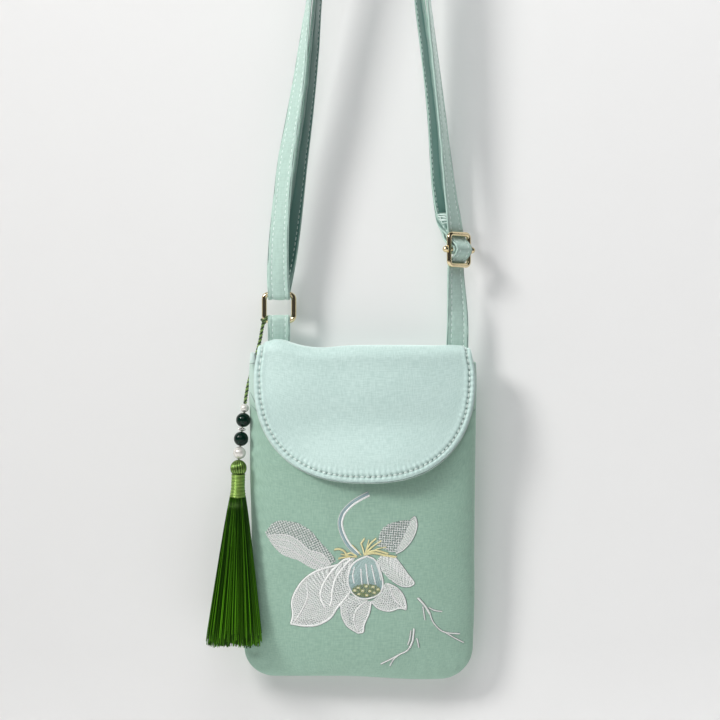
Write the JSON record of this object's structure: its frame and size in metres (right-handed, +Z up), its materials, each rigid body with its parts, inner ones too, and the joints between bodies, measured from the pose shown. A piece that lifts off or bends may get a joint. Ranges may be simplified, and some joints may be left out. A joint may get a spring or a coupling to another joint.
{
  "type": "embroidered handbag",
  "caption": "Small satin shoulder pouch with a rounded front flap, embroidered front, doubled adjustable strap and a bead and silk tassel charm, hanging by its strap.",
  "frame": {"origin": "underside of the strap at the middle of its top bend, where a hook or a shoulder holds it", "axes": "+Z up, the front of the pouch faces -Y, +X to the right as seen from the front"},
  "size_m": [0.1436, 0.0418, 0.519],
  "materials": {
    "pouch_cloth": "soft satin weave",
    "flap_satin": "satin",
    "strap_cloth": "satin, stitched edges",
    "gold_metal": "polished pale gold plate",
    "green_cord": "twisted cord",
    "pearl": "pearl lustre",
    "green_stone": "polished",
    "silver_metal": "polished",
    "tassel_silk": "silk strands"
  },
  "bodies": {
    "root": {"pouch": "pouch_cloth", "flap": "flap_satin", "strap": "strap_cloth", "ring_tab": "strap_cloth", "strap_ring": "gold_metal", "slider_buckle": "gold_metal", "tassel_cord": "green_cord", "small_pearl": "pearl", "upper_bead": "green_stone", "spacer_bead": "silver_metal", "lower_bead": "green_stone", "large_pearl": "pearl", "tassel": "tassel_silk"}
  },
  "joints": []
}
